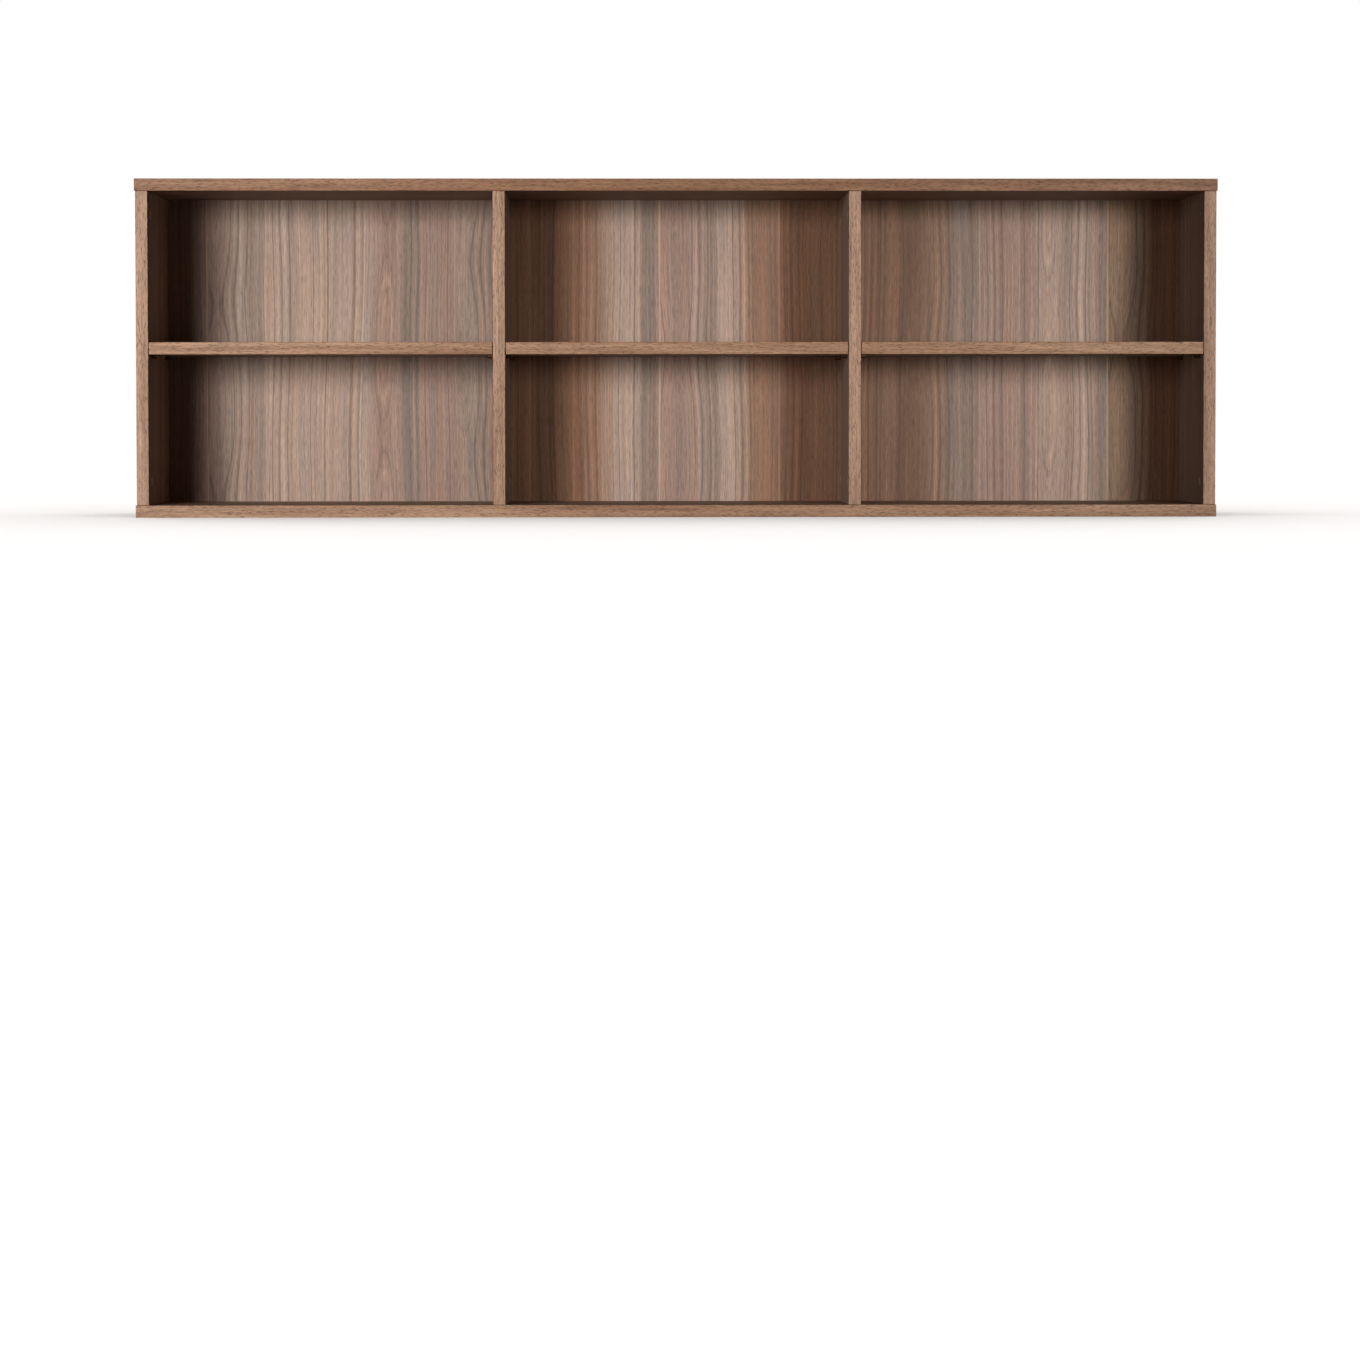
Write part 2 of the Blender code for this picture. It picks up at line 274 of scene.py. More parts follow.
ARCH_PERIOD = 0.30        # metres along the grain from one heart of the arches to the next
RINGS_PER_METRE = 170.0   # fine growth rings, and the broad bands that they gather in
BANDS_PER_METRE = 46.0
RING_SHIFT = 40.0         # moves the rings and bands from leaf to leaf
BAND_SHIFT = 70.0
DRIFT = 0.025             # metres that the grain wanders, slowly and in small waves
WAVER = 0.003
LEAVES_PER_METRE = 6.4
LEAF_CHANCE = 0.85        # how uneven the leaves' widths are
BOARD_SHIFT = 13.0        # metres of print skipped for each metre through, so boards differ
HIDDEN_SEAM = 0.15        # strength of the faint and the clear seams
CLEAR_SEAM = 0.75
SEAM_REACH = (0.0009, 0.0003)             # in leaf widths: where a seam fades out, and is full
BACK_SEAM_REACH = (0.0020, 0.0006)        # the same on the back sheet, in metres
BACK_SEAM_STRENGTH = 0.6
PRINT_RELIEF = 0.00006
PRINT_ROUGHNESS = (0.62, 0.52)
PRINT_SPECULAR = 0.06
BAND_RELIEF = 0.00008
BAND_WANDER = 0.0022      # metres that a band's grain wanders

# The back sheet's print, in metres across it: where a strip starts and ends, and its tone. Beside
# the uprights some tones also hold painted light and shade, as noted below.
BACK_STRIPS_AND_PAINTED_SHADE = [
    # Left bay: the first strip lies in the left side's shadow, and its light rose tone there is
    # partly painted light that softens that shadow.
    [(-0.800, -0.730, ROSE), (-0.716, -0.702, ROSE), (-0.690, -0.668, PALE),
     (-0.655, -0.636, GREY), (-0.628, -0.560, PALE), (-0.535, -0.480, PALE),
     (-0.460, -0.423, ROSE), (-0.417, -0.398, SLATE), (-0.390, -0.346, ROSE),
     (-0.335, -0.268, GREY)],
    # Middle bay: the umber and brown strips next to the left partition are darkened as painted
    # shade of its shadow. The slow ramps from brown to pale between -0.124 and -0.088, and from
    # pale to brown between 0.090 and 0.118, are painted shade that fades the partitions' shadows.
    [(-0.268, -0.150, UMBER), (-0.138, -0.124, BROWN), (-0.088, -0.062, PALE),
     (-0.045, -0.027, SLATE), (-0.022, 0.036, ROSE), (0.044, 0.062, GREY),
     (0.072, 0.090, PALE), (0.118, 0.134, BROWN), (0.148, 0.158, BROWN),
     (0.163, 0.268, UMBER)],
    [(0.268, 0.350, BROWN), (0.356, 0.412, OLIVE), (0.430, 0.450, SLATE),
     (0.456, 0.466, SLATE), (0.476, 0.550, ROSE), (0.566, 0.650, PALE),
     (0.658, 0.667, SLATE), (0.672, 0.725, SAND), (0.740, 0.800, UMBER)],
]
# Its seams: place across and strength.
BACK_SEAMS = [(-0.7215, 0.9), (-0.631, 0.5), (-0.2245, 0.4), (-0.157, 0.3), (-0.0238, 0.9),
              (0.1608, 0.6), (0.471, 0.5), (0.669, 0.9)]
# Its leaves: left edge, then the arches' heart across and up, and how wide they open.
BACK_LEAVES = [
    (-0.800, -0.790, 0.20, 0.02), (-0.722, -0.704, 0.47, 0.22), (-0.631, -0.680, 0.30, 0.06),
    (-0.480, -0.446, 0.27, 0.15), (-0.419, -0.470, 0.10, 0.05), (-0.341, -0.326, 0.24, 0.21),
    (-0.268, -0.330, 0.10, 0.04), (-0.157, -0.200, 0.30, 0.08), (-0.024, 0.001, 0.10, 0.20),
    (0.066, 0.030, 0.30, 0.06), (0.161, 0.110, 0.20, 0.06), (0.268, 0.250, 0.08, 0.14),
    (0.353, 0.371, 0.41, 0.20), (0.470, 0.440, 0.05, 0.14), (0.562, 0.578, 0.46, 0.16),
    (0.669, 0.692, 0.12, 0.22),
]
RAMP_LOW = -1.0           # the ramps across the back sheet run from here
RAMP_SPAN = 2.0           # over this many metres
STRIP_WAVER = 0.006       # metres that a strip's edge strays to either side


def walnut_grain(net, warped, v, heart_gap, heart_rise, opening, tone, seed):
    """Print the grain of a leaf over its tone: arches round its heart, lines and pores."""
    turns = net.times(heart_rise, math.tau / ARCH_PERIOD)
    swell = net.times(net.math("SUBTRACT", 1.0, net.math("COSINE", turns)),
                      ARCH_PERIOD / math.tau)
    rise = net.times(swell, opening)
    radius = net.math("SQRT", net.add(net.times(heart_gap, heart_gap), net.times(rise, rise)))
    rings = net.line_noise(
        net.add(net.times(radius, RINGS_PER_METRE), net.times(opening, RING_SHIFT)),
        detail=4.0, roughness=0.62)
    bands = net.line_noise(
        net.add(net.times(radius, BANDS_PER_METRE), net.times(opening, BAND_SHIFT)))
    streaks = net.fibres(warped, v, (105.0, 1.6), seed, detail=4.0, roughness=0.65)
    lines = net.fibres(warped, v, (330.0, 5.0), seed, detail=4.0, roughness=0.7)
    pores = net.fibres(warped, v, (1150.0, 60.0), seed, roughness=0.6)
    hue = net.fibres(warped, v, (62.0, 2.2), seed)

    casts = net.ramp(hue, [(0.36, COOL_CAST), (0.50, NO_CAST), (0.64, WARM_CAST)])
    colour = net.shade(
        net.mix(1.0, tone, casts, "MULTIPLY"),
        (rings, (0.28, 0.72), (0.80, 1.12)),
        (streaks, (0.25, 0.75), (0.85, 1.11)),
        (bands, (0.30, 0.70), (0.90, 1.08)),
        (lines, (0.32, 0.68), (0.80, 1.13)),
        (pores, (0.36, 0.56), (0.76, 1.05)))
    colour = net.mix(net.span(rings, 0.37, 0.27, 0.0, 0.65), colour, COOL_LINE)
    net.bump(net.add(net.times(pores, 0.6), net.times(lines, 0.4)), PRINT_RELIEF, 0.6)
    return colour, net.span(lines, 0.2, 0.8, *PRINT_ROUGHNESS)


def sway(net, u, v, seed):
    """Let the grain wander a little along its length, to either side."""
    drift = net.fibres(u, v, (5.0, 1.9), seed, detail=1.0)
    waver = net.fibres(u, v, (22.0, 7.0), seed, detail=1.0)
    return net.add(u, net.times(drift, DRIFT), net.times(waver, WAVER), -(DRIFT + WAVER) / 2)


def walnut(name, across, along, through, seed):
    """Walnut-print laminate: joined leaves of long-grained veneer, straight or arched."""
    net = Net(name)
    axes = net.axes()
    u = net.add(axes[across], net.times(axes[through], BOARD_SHIFT), seed)
    v = axes[along]
    warped = sway(net, u, v, seed)

    # Each leaf has its own tone and its own centre of grain.
    leaf = net.node("TexVoronoi", voronoi_dimensions="1D")
    edge = net.node("TexVoronoi", voronoi_dimensions="1D", feature="DISTANCE_TO_EDGE")
    for made in (leaf, edge):
        net.feed(made.inputs["W"], u)
        net.feed(made.inputs["Scale"], LEAVES_PER_METRE)
        net.feed(made.inputs["Randomness"], LEAF_CHANCE)
    chance = net.node("SeparateColor")
    net.feed(chance.inputs[0], leaf.outputs["Color"])
    heart_pick, figure_pick, tone_pick = chance.outputs
    gap = net.math("SUBTRACT", warped, leaf.outputs["W"])
    rise = net.add(v, heart_pick)
    opening = net.span(figure_pick, 0.0, 1.0, 0.03, 0.24)
    shift = net.line_noise(net.times(warped, 34.0), detail=1.0)
    tone = net.ramp(net.add(net.times(tone_pick, 0.5), net.times(shift, 0.5)), [
        (0.15, BROWN), (0.30, GREY), (0.45, ROSE), (0.60, PALE), (0.75, SAND)])
    colour, roughness = walnut_grain(net, warped, v, gap, rise, opening, tone, seed)
    seam = net.times(net.span(edge.outputs["Distance"], *SEAM_REACH),
                     net.span(figure_pick, 0.45, 0.55, HIDDEN_SEAM, CLEAR_SEAM))
    return net.finish(net.mix(seam, colour, SEAM_TONE), roughness, specular=PRINT_SPECULAR)


def ramp_place(x):
    """Turn a place across the back sheet into its place on a ramp from 0 to 1."""
    return (x - RAMP_LOW) / RAMP_SPAN


def strip_tones_and_painted_shade(net, x, place):
    """Look up the back sheet's strips with their painted light and shade, one ramp to a bay, and
    join the bays.
    """
    tone = None
    for strips in BACK_STRIPS_AND_PAINTED_SHADE:
        here = net.ramp(place, [(ramp_place(end), colour) for left, right, colour in strips
                                for end in (left, right)])
        if tone is None:
            tone = here
        else:
            tone = net.mix(net.math("GREATER_THAN", x, strips[0][0]), tone, here)
    return tone


def leaf_hearts(net, x):
    """Look up the heart of the leaf at x: its place across, its height and its opening."""
    steps = net.ramp(net.span(x, RAMP_LOW, RAMP_LOW + RAMP_SPAN), [
        (ramp_place(edge), (ramp_place(heart_x), heart_z, opening, 1.0))
        for edge, heart_x, heart_z, opening in BACK_LEAVES])
    steps.node.color_ramp.interpolation = "CONSTANT"
    channels = net.node("SeparateColor")
    net.feed(channels.inputs[0], steps)
    heart_x = net.add(net.times(channels.outputs[0], RAMP_SPAN), RAMP_LOW)
    return heart_x, channels.outputs[1], channels.outputs[2]


def walnut_back_and_painted_shade():
    """Walnut print of the back sheet, some strips with painted light and shade: its strips, seams
    and arches run through both rows.
    """
    net = Net("walnut_back_and_painted_shade")
    x = net.axes()["X"]
    z = net.axes()["Z"]
    seed = 0.05
    warped = sway(net, x, z, seed)

    # The strips' edges waver a little.
    waver = net.times(net.fibres(x, z, (9.0, 2.2), 0.7), 2 * STRIP_WAVER)
    place = net.span(net.add(x, waver, -STRIP_WAVER), RAMP_LOW, RAMP_LOW + RAMP_SPAN)
    # These tones hold painted light and shade in some strips beside the uprights.
    tone = strip_tones_and_painted_shade(net, x, place)
    heart_x, heart_z, opening = leaf_hearts(net, x)
    gap = net.math("SUBTRACT", warped, heart_x)
    rise = net.math("SUBTRACT", z, heart_z)
    colour, roughness = walnut_grain(net, warped, z, gap, rise, opening, tone, seed)

    fade = net.span(net.fibres(x, z, (30.0, 6.0), 0.3), 0.3, 0.6, 0.35, 1.0)
    for seam_x, strength in BACK_SEAMS:
        away = net.math("ABSOLUTE", net.math("SUBTRACT", x, seam_x))
        full = BACK_SEAM_STRENGTH * strength
        line = net.times(net.span(away, *BACK_SEAM_REACH, 0.0, full), fade)
        colour = net.mix(line, colour, SEAM_TONE)
    return net.finish(colour, roughness, specular=PRINT_SPECULAR)


def edge_band(name, across, along, seed, tones):
    """Walnut-print edge band: warm brown with short dark pores along its length."""
    net = Net(name)
    axes = net.axes()
    u = net.add(axes[across], seed)
    v = axes[along]
    wander = net.fibres(u, v, (60.0, 9.0), seed, detail=1.0)
    warped = net.add(u, net.times(wander, BAND_WANDER))
    broad = net.fibres(warped, v, (130.0, 4.0), seed)
    streaks = net.fibres(warped, v, (560.0, 20.0), seed, detail=3.0, roughness=0.6)
    pores = net.fibres(warped, v, (1300.0, 120.0), seed, roughness=0.55)
    slow = net.noise(net.point(net.times(v, 2.3), seed), detail=1.0)
    tone = net.ramp(net.add(net.times(broad, 0.7), net.times(slow, 0.3)),
                    list(zip((0.30, 0.50, 0.70), tones)))
    colour = net.shade(
        tone,
        (streaks, (0.32, 0.68), (0.76, 1.16)),
        (pores, (0.37, 0.47), (0.48, 1.03)))
    net.bump(pores, BAND_RELIEF, 0.7)
    return net.finish(colour, net.span(pores, 0.3, 0.6, 0.62, 0.50), specular=0.2)


def chipboard():
    """Raw particle board, seen in bores, grooves and hidden edges."""
    net = Net("raw_chipboard")
    place = net.point(*net.axes().values())
    chips = net.node("TexVoronoi")
    net.feed(chips.inputs["Vector"], place)
    net.feed(chips.inputs["Scale"], 620.0)
    fibres = net.noise(place, detail=3.0, scale=1800.0)
    chance = net.node("SeparateColor")
    net.feed(chance.inputs[0], chips.outputs["Color"])
    colour = net.ramp(net.add(net.times(chance.outputs[0], 0.7), net.times(fibres, 0.3)), [
        (0.1, tint(120, 88, 58)),
        (0.5, tint(176, 142, 102)),
        (0.9, tint(206, 176, 136)),
    ])
    net.bump(net.add(chips.outputs["Distance"], fibres), 0.0003, 0.6)
    return net.finish(colour, 0.85, specular=0.2)


def hardboard():
    """Plain back of the printed hardboard sheet, with its fine pressed texture."""
    net = Net("hardboard_back")
    place = net.point(*net.axes().values())
    flecks = net.noise(place, detail=3.0, roughness=0.7, scale=420.0)
    cloud = net.noise(place, detail=2.0, scale=7.0)
    colour = net.ramp(net.add(net.times(flecks, 0.8), net.times(cloud, 0.2)), [
        (0.30, tint(104, 76, 50)),
        (0.50, tint(134, 101, 69)),
        (0.70, tint(152, 120, 86)),
    ])
    net.bump(flecks, 0.0002, 0.5)
    return net.finish(colour, 0.75, specular=0.25)


def cast_metal(name, tone, roughness, grain):
    """Cast or plated metal with a faint grain and small blemishes."""
    net = Net(name)
    place = net.point(*net.axes().values())
    fine = net.noise(place, detail=3.0, roughness=0.6, scale=grain)
    stains = net.noise(place, detail=2.0, scale=160.0)
    low = tuple(0.72 * value for value in tone[:3]) + (1.0,)
    colour = net.ramp(net.add(net.times(fine, 0.4), net.times(stains, 0.6)),
                      [(0.3, low), (0.6, tone)])
    net.bump(fine, 0.00003, 0.5)
    return net.finish(colour, net.span(stains, 0.3, 0.7, roughness + 0.12, roughness),
                      metallic=1.0)


# ---------------------------------------------------------------- mesh tools

def link(name, data):
    """Put a mesh, lamp or camera in the scene as an object."""
    item = bpy.data.objects.new(name, data)
    bpy.context.scene.collection.objects.link(item)
    return item


def mesh_from(bm, name):
    """Turn a bmesh into a mesh and free it."""
    mesh = bpy.data.meshes.new(name)
    bm.to_mesh(mesh)
    bm.free()
    return mesh


def box_bmesh(low, high):
    """Make a box between two corners."""
    low = Vector(low)
    high = Vector(high)
    bm = bmesh.new()
    place = Matrix.Translation((low + high) / 2) @ Matrix.Diagonal((*(high - low), 1.0))
    bmesh.ops.create_cube(bm, size=1.0, matrix=place)
    return bm


def rod(bm, start, end, radius, sides=FINE_SIDES):
    """Add a closed cylinder between two points."""
    start = Vector(start)
    end = Vector(end)
    turn = (end - start).to_track_quat("Z", "Y").to_matrix().to_4x4()
    bmesh.ops.create_cone(
        bm, cap_ends=True, segments=sides, radius1=radius, radius2=radius,
        depth=(end - start).length, matrix=Matrix.Translation((start + end) / 2) @ turn)


def carve(item, tools, operation="DIFFERENCE"):
    """Cut an object with each of the given bmeshes, one after another."""
    for bm in tools:
        tool = link("tool", mesh_from(bm, "tool"))
        boolean = item.modifiers.new("carve", "BOOLEAN")
        boolean.operation = operation
        boolean.solver = "EXACT"
        boolean.object = tool
        bpy.context.view_layer.update()
        graph = bpy.context.evaluated_depsgraph_get()
        carved = bpy.data.meshes.new_from_object(item.evaluated_get(graph))
        item.modifiers.clear()
        item.data = carved
        bpy.data.objects.remove(tool, do_unlink=True)


def shade_round(mesh, degrees=35.0):
    """Shade a mesh smooth between its sharp edges."""
    mesh.shade_smooth()
    mesh.set_sharp_from_angle(angle=math.radians(degrees))


def grown(node, by):
    """Give a CAD node's box, grown on every side."""
    low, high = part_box(node)
    room = Vector((by, by, by))
    return Vector(low) - room, Vector(high) + room


# ---------------------------------------------------------------- boards

def touches(low, high, other_low, other_high):
    """Say whether two boxes overlap."""
    return all(low[axis] < other_high[axis] and high[axis] > other_low[axis]
               for axis in range(3))


def pin_axis_z(node):
    """Give the height of a pin's axis: its head is round below and flat above."""
    low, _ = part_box(node)
    return low[2] + PIN_HEAD


def side_bore(node, board_low, board_high, bm):
    """Bore for a cam or a pin, through the board's face that it is nearer to."""
    low, high = grown(node, CLEARANCE)
    middle = (low + high) / 2
    radius = (high.y - low.y) / 2
    z = middle.z
    if SLOT_OF[node] == "shelf_pin":
        radius = PIN_BORE
        z = pin_axis_z(node)
    if middle.x > (board_low.x + board_high.x) / 2:
        start, end = board_high.x + OVERCUT, low.x
    else:
        start, end = board_low.x - OVERCUT, high.x
    rod(bm, (start, middle.y, z), (end, middle.y, z), radius)


def fitting_bores(board_low, board_high):
    """Make the cutters of the bores and grooves in the board between two corners."""
    side_bores = bmesh.new()
    bolt_bores = bmesh.new()
    for node in frame["nodes"]:
        low, high = grown(node, CLEARANCE)
        if not touches(board_low, board_high, low, high):
            continue
        if SLOT_OF[node] in ("cam", "shelf_pin"):
            side_bore(node, board_low, board_high, side_bores)
        elif SLOT_OF[node] == "cam_bolt":
            middle = (low + high) / 2
            half = Z_AXIS * (high.z - low.z) / 2
            rod(bolt_bores, middle - half, middle + half, (high.x - low.x) / 2, BOLT_SIDES)
    tools = [bm for bm in (side_bores, bolt_bores) if bm.verts]
    sheet_low, sheet_high = grown("back_panel", CLEARANCE)
    if touches(board_low, board_high, sheet_low, sheet_high):
        tools.append(box_bmesh(sheet_low, sheet_high))
    return tools


def axis_of(direction):
    """Say which of X, Y and Z a direction lies along, as 0, 1 or 2."""
    return max(range(3), key=lambda index: abs(direction[index]))


def laminate(name, low, high, face_axis, face_material, raw_material):
    """Make a board's core: printed on its two faces, raw board on its edges and in its bores."""
    bm = box_bmesh(low, high)
    for face in bm.faces:
        face.material_index = 1 if abs(face.normal[face_axis]) > 0.5 else 0
    bmesh.ops.bevel(bm, geom=list(bm.edges), offset=CORE_EASE, segments=1, affect="EDGES",
                    material=0)
    mesh = mesh_from(bm, name)
    mesh.materials.append(raw_material)
    mesh.materials.append(face_material)
    return link(name, mesh)


def band(name, low, high, outward, thickness, material, body):
    """Glue an edge band along one side of a board's box, its outer corners rounded over."""
    axis = axis_of(outward)
    low = Vector(low)
    high = Vector(high)
    if outward[axis] > 0:
        low[axis] = high[axis] - thickness + GLUE_LINE
    else:
        high[axis] = low[axis] + thickness - GLUE_LINE
    bm = box_bmesh(low, high)
    outer = high[axis] if outward[axis] > 0 else low[axis]
    rounded = [edge for edge in bm.edges
               if all(abs(vert.co[axis] - outer) < GLUE_LINE / 2 for vert in edge.verts)]
    bmesh.ops.bevel(bm, geom=rounded, offset=min(BAND_ROUND, 0.9 * thickness), segments=4,
                    profile=0.5, affect="EDGES")
    mesh = mesh_from(bm, name)
    mesh.materials.append(material)
    shade_round(mesh, 60.0)
    item = link(name, mesh)
    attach(item, body)


def add_board(node, face_axis, bands, face_material, band_materials, raw_material):
    """Build one board from its CAD box: the core, its bores and its edge bands."""
    low, high = (Vector(corner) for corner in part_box(node))
    core_low = low.copy()
    core_high = high.copy()
    for direction, thickness in bands:
        axis = axis_of(direction)
        if direction[axis] > 0:
            core_high[axis] -= thickness
        else:
            core_low[axis] += thickness
    core = laminate(node + "_core", core_low, core_high, face_axis, face_material, raw_material)
    carve(core, fitting_bores(low, high))
    shade_round(core.data)
    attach(core, BODY_OF[node])
    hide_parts(node)
    # Bands go on in turn, so each stops at the ones that were there before it.
    band_low = core_low.copy()
    band_high = core_high.copy()
    for direction, thickness in bands:
        axis = axis_of(direction)
        if direction[axis] > 0:
            sign = "high"
            band_high[axis] = high[axis]
        else:
            sign = "low"
            band_low[axis] = low[axis]
        name = f"{node}_band_{'xyz'[axis]}_{sign}"
        material = band_materials["front" if axis == 1 else "end"]
        band(name, band_low, band_high, direction, thickness, material, BODY_OF[node])


def add_boards():
    """Build the case boards and the shelves."""
    raw = chipboard()
    flat_bands = {
        "front": edge_band("band_along_x", "Z", "X", 0.37, WARM_BAND),
        "end": edge_band("band_along_y", "Z", "Y", 0.81, WARM_BAND),
    }
    top_bands = {
        "front": edge_band("band_top_front", "Z", "X", 0.37, DEEP_BAND),
        "end": edge_band("band_top_end", "Z", "Y", 0.81, DEEP_BAND),
    }
    upright_bands = {"front": edge_band("band_along_z", "X", "Z", 0.59, PALE_BAND)}
    round_all = [(X_AXIS, BAND), (-X_AXIS, BAND), (Y_AXIS, BAND), (-Y_AXIS, BAND)]
    round_shelf = [(X_AXIS, THIN_BAND), (-X_AXIS, THIN_BAND), (Y_AXIS, THIN_BAND),
                   (-Y_AXIS, BAND)]
    case_flat = walnut("walnut_along_x", "Y", "X", "Z", 0.23)
    shelf_flat = walnut("walnut_shelf", "Y", "X", "Z", 1.71)
    upright = walnut("walnut_upright", "Y", "Z", "X", 0.92)
    add_board("top_panel", 2, round_all, case_flat, top_bands, raw)
    add_board("bottom_panel", 2, round_all, case_flat, flat_bands, raw)
    for node in ("left_shelf", "middle_shelf", "right_shelf"):
        add_board(node, 2, round_shelf, shelf_flat, flat_bands, raw)
    for node in ("left_side", "right_side"):
        add_board(node, 0, [(Y_AXIS, BAND), (-Y_AXIS, BAND)], upright, upright_bands, raw)
    for node in ("left_partition", "right_partition"):
        add_board(node, 0, [(-Y_AXIS, BAND)], upright, upright_bands, raw)


def add_back_sheet():
    """Build the back sheet: printed in front, plain hardboard behind."""
    low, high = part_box("back_panel")
    bm = box_bmesh(low, high)
    for face in bm.faces:
        face.material_index = 1 if face.normal.y < -0.5 else 0
    mesh = mesh_from(bm, "back_sheet")
    mesh.materials.append(hardboard())
    mesh.materials.append(walnut_back_and_painted_shade())
    sheet = link("back_sheet", mesh)
    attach(sheet, BODY_OF["back_panel"])
    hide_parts("back_panel")


# ---------------------------------------------------------------- fittings

def aim(location, forward, up):
    """Give a matrix that turns local +Z to forward and local +X to up."""
    side = forward.cross(up)
    turn = Matrix((up, side, forward)).transposed().to_4x4()
    return Matrix.Translation(location) @ turn


def cam_mesh(radius, length):
    """Make a cam lock: face at z = 0 with a chamfered rim, a cross slot and a pointer."""
    bm = bmesh.new()
    rod(bm, (0, 0, -length), (0, 0, 0), radius)
    rim = [edge for edge in bm.edges if all(vert.co.z > -CAM_RIM for vert in edge.verts)]
    bmesh.ops.bevel(bm, geom=rim, offset=CAM_RIM, segments=2, affect="EDGES")
    cam = link("cam", mesh_from(bm, "cam"))
    long = Vector((CROSS_LENGTH, CROSS_WIDTH, 2 * CROSS_DEPTH)) / 2
    wide = Vector((CROSS_WIDTH, CROSS_LENGTH, 2 * CROSS_DEPTH)) / 2
    pointer = bmesh.new()
    bmesh.ops.create_cone(
        pointer, cap_ends=True, segments=3, radius1=MARK_SIZE / 2, radius2=MARK_SIZE,
        depth=MARK_DEPTH, matrix=Matrix.Translation((radius * MARK_PLACE, 0, 0)))
    carve(cam, [box_bmesh(-long, long), box_bmesh(-wide, wide), pointer])
    mesh = cam.data
    bpy.data.objects.remove(cam, do_unlink=True)
    shade_round(mesh)
    return mesh


def pin_mesh(box_low, box_high, axis_z):
    """Make a shelf pin: z = 0 is its inner end, the head is at +Z with its flat facing +X."""
    length = box_high[0] - box_low[0]
    flat = box_high[2] - axis_z
    bm = bmesh.new()
    rod(bm, (0, 0, PIN_HEAD_START), (0, 0, length), PIN_HEAD)
    rim = [edge for edge in bm.edges
           if all(vert.co.z > length - PIN_RIM for vert in edge.verts)]
    bmesh.ops.bevel(bm, geom=rim, offset=PIN_RIM, segments=3, affect="EDGES")
    pin = link("pin", mesh_from(bm, "pin"))
    shank = bmesh.new()
    rod(shank, (0, 0, 0), (0, 0, PIN_HEAD_START + OVERCUT), PIN_SHANK, SHANK_SIDES)
    carve(pin, [shank], "UNION")
    wide = 2 * PIN_HEAD
    carve(pin, [box_bmesh((flat, -wide, PIN_HEAD_START - PIN_STEP), (wide, wide, 2 * length))])
    mesh = pin.data
    bpy.data.objects.remove(pin, do_unlink=True)
    shade_round(mesh)
    return mesh


def add_fitting(node, mesh, place):
    """Put a fitting in and let it stand for its CAD node."""
    item = link(node + "_fine", mesh)
    item.matrix_world = place
    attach(item, BODY_OF[node])
    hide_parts(node)


def add_cam(node, low, high, mesh):
    """Put a cam in an upright: its face looks inwards and its pointer points at its bolt."""
    middle = (low + high) / 2
    up = Z_AXIS if "_top_" in node else -Z_AXIS
    if middle.x < 0:
        place = aim(Vector((high.x, middle.y, middle.z)), X_AXIS, up)
    else:
        place = aim(Vector((low.x, middle.y, middle.z)), -X_AXIS, up)
    add_fitting(node, mesh, place)


def add_pin(node, low, high, mesh):
    """Put a shelf pin in an upright, on the hand that its name gives."""
    y = (low.y + high.y) / 2
    hand = node.split("_")[-3]
    if hand == "right":
        place = aim(Vector((low.x, y, pin_axis_z(node))), X_AXIS, Z_AXIS)
    else:
        place = aim(Vector((high.x, y, pin_axis_z(node))), -X_AXIS, Z_AXIS)
    add_fitting(node, mesh, place)


def add_fittings():
    """Put in the cams and pins, and give the hidden bolts their metal."""
    zinc = cast_metal("zinc_cam", tint(176, 176, 178), 0.38, 2400.0)
    steel = cast_metal("plated_steel", tint(188, 182, 170), 0.28, 3600.0)
    bronze = cast_metal("bronzed_pin", tint(118, 92, 66), 0.42, 3600.0)
    cam = None
    pin = None
    for node in sorted(frame["nodes"]):
        kind = SLOT_OF[node]
        low, high = (Vector(corner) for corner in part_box(node))
        if kind == "cam_bolt":
            frame["nodes"][node].data.materials.clear()
            frame["nodes"][node].data.materials.append(steel)
        elif kind == "cam":
            if cam is None:
                cam = cam_mesh((high.z - low.z) / 2, high.x - low.x)
                cam.materials.append(zinc)
            add_cam(node, low, high, cam)
        elif kind == "shelf_pin":
            if pin is None:
                pin = pin_mesh(low, high, pin_axis_z(node))
                pin.materials.append(bronze)
            add_pin(node, low, high, pin)


# ---------------------------------------------------------------- studio

def add_camera():
    """Set the camera up in front of the open side."""
    data = bpy.data.cameras.new("camera")
    data.sensor_width = SENSOR
    data.lens = FOCAL
    data.shift_y = SHIFT_UP
    camera = link("camera", data)
    camera.location = CAMERA_PLACE
    look = Euler((math.radians(90 - CAMERA_PITCH), 0, math.radians(-CAMERA_YAW)), "XYZ")
    roll = Matrix.Rotation(math.radians(CAMERA_ROLL), 4, "Z")
    camera.rotation_euler = (look.to_matrix().to_4x4() @ roll).to_euler()
    bpy.context.scene.camera = camera


def add_lamp(name, kind, place, target, power):
    """Hang a lamp and aim it at a point."""
    data = bpy.data.lights.new(name, kind)
    data.energy = power
    lamp = link(name, data)
    lamp.location = place
    lamp.rotation_euler = (Vector(target) - Vector(place)).to_track_quat("-Z", "Y").to_euler()
    return lamp


def add_softbox(name, place, target, width, height, power, grid, spared):
    """Hang a softbox; its grid keeps the light within so many degrees, off what is spared."""
    lamp = add_lamp(name, "AREA", place, target, power)
    lamp.data.shape = "RECTANGLE"
    lamp.data.size = width
    lamp.data.size_y = height
    lamp.data.spread = math.radians(grid)
    lamp.light_linking.receiver_collection = spared


def grey(value):
    """Give a neutral colour."""
    return (value, value, value, 1.0)


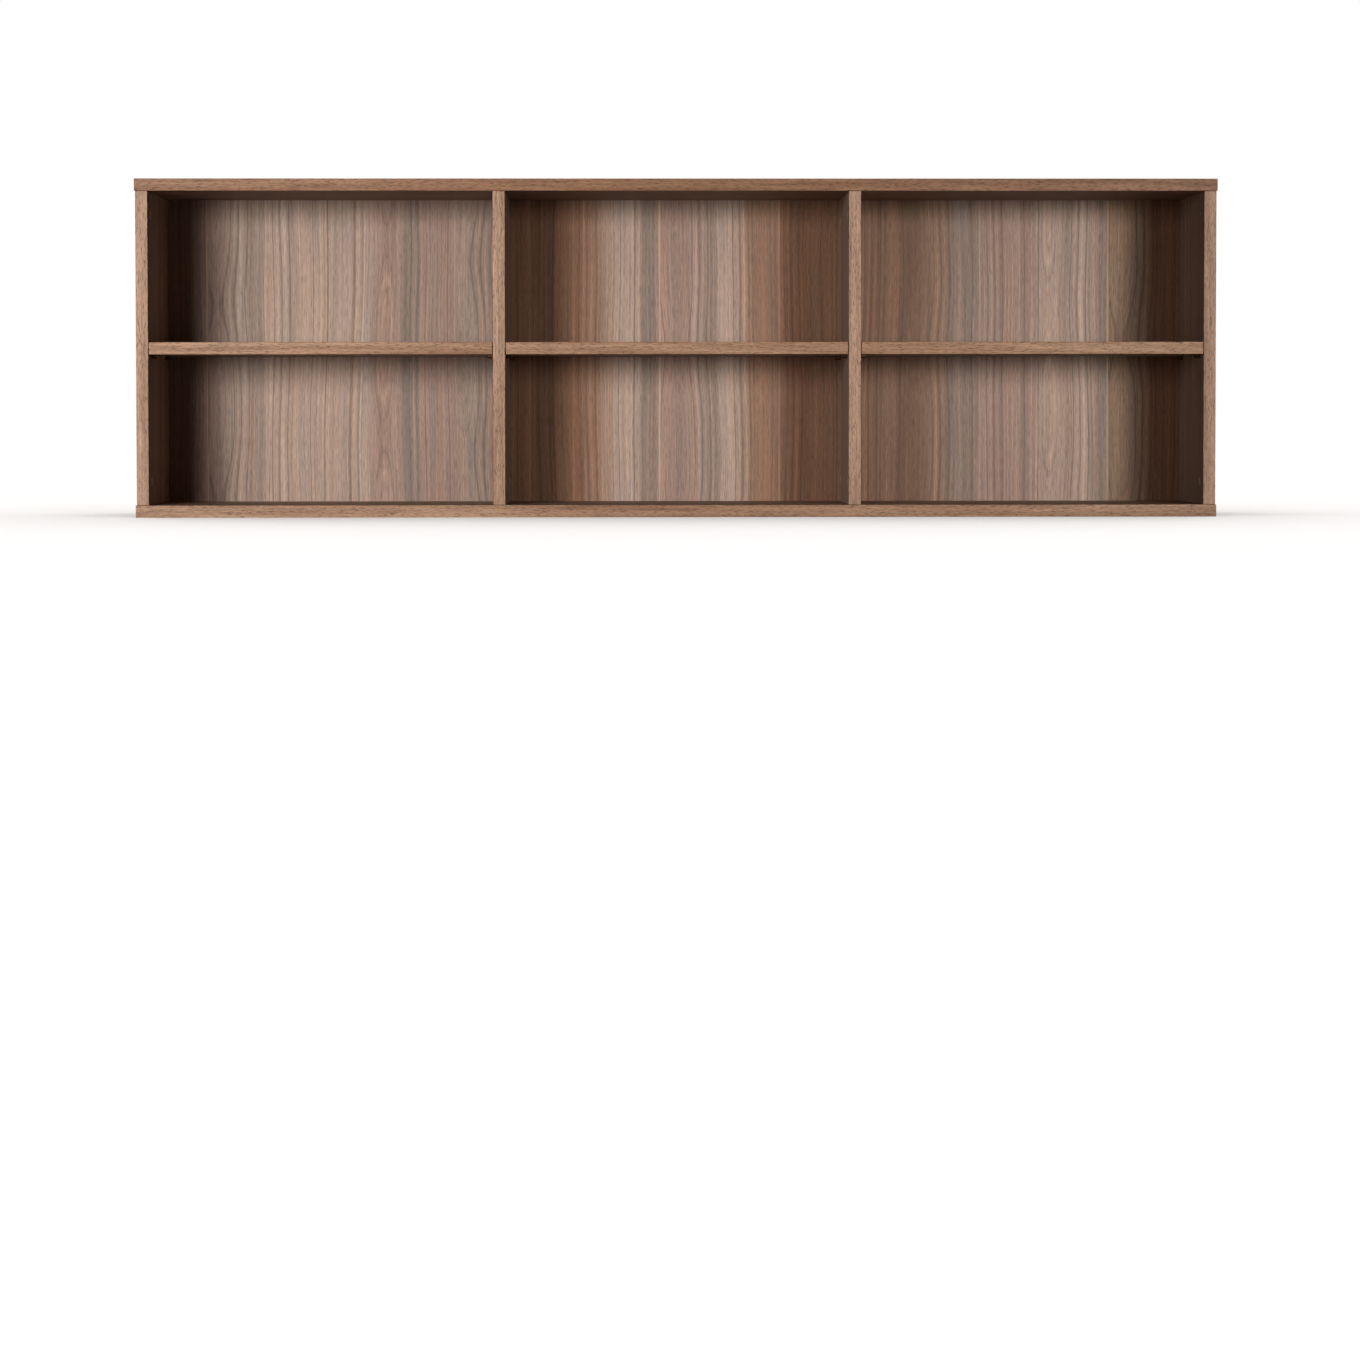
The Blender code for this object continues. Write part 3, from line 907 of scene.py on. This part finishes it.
def add_floor():
    """Lay a pale floor that throws little light back; return what the softboxes must spare."""
    bm = bmesh.new()
    bmesh.ops.create_grid(bm, x_segments=1, y_segments=1, size=FLOOR_REACH)
    floor = link("floor", mesh_from(bm, "floor"))
    net = Net("pale_floor")
    cloud = net.noise(net.point(*net.axes().values()), detail=2.0, scale=1.3)
    pale = net.ramp(cloud, [(0.2, grey(FLOOR_PALE - FLOOR_CLOUD)),
                            (0.8, grey(FLOOR_PALE + FLOOR_CLOUD))])
    net.finish(pale, 0.9, specular=0.0)
    dim = net.node("BsdfDiffuse")
    dim.inputs["Color"].default_value = FLOOR_RETURN
    blend = net.node("MixShader")
    net.feed(blend.inputs[0], net.node("LightPath").outputs["Is Camera Ray"])
    net.feed(blend.inputs[1], dim.outputs[0])
    net.feed(blend.inputs[2], net.shader.outputs[0])
    net.feed(net.tree.nodes["Material Output"].inputs[0], blend.outputs[0])
    floor.data.materials.append(net.material)

    # The floor has a broad light of its own, and no softbox lights it.
    sky = add_lamp("floor_light", "SUN", (0, 0, 4), (0, 0, 0), BACKDROP * math.pi / FLOOR_PALE)
    sky.data.angle = math.radians(FLOOR_LIGHT_WIDTH)
    only_floor = bpy.data.collections.new("lit_by_floor_light")
    only_floor.objects.link(floor)
    sky.light_linking.receiver_collection = only_floor
    spared = bpy.data.collections.new("not_lit_by_softboxes")
    spared.objects.link(floor)
    spared.collection_objects[0].light_linking.link_state = "EXCLUDE"
    return spared


def add_world():
    """Fill the room with a little soft light, in front of a white backdrop."""
    world = bpy.data.worlds.new("studio")
    world.use_nodes = True
    bpy.context.scene.world = world
    tree = world.node_tree
    room = tree.nodes["Background"]
    room.inputs["Color"].default_value = ROOM_TONE
    room.inputs["Strength"].default_value = ROOM_LIGHT
    backdrop = tree.nodes.new("ShaderNodeBackground")
    backdrop.inputs["Color"].default_value = grey(1.0)
    backdrop.inputs["Strength"].default_value = BACKDROP
    path = tree.nodes.new("ShaderNodeLightPath")
    blend = tree.nodes.new("ShaderNodeMixShader")
    tree.links.new(path.outputs["Is Camera Ray"], blend.inputs[0])
    tree.links.new(room.outputs[0], blend.inputs[1])
    tree.links.new(backdrop.outputs[0], blend.inputs[2])
    tree.links.new(blend.outputs[0], tree.nodes["World Output"].inputs[0])


def add_studio():
    """Set up the floor, the world and the lights."""
    bpy.context.scene.view_settings.view_transform = "Standard"
    spared = add_floor()
    add_world()
    for name, place, target, width, height, power, grid in SOFTBOXES:
        add_softbox(name, place, target, width, height, power, grid, spared)


add_camera()
add_boards()
add_back_sheet()
add_fittings()
add_studio()
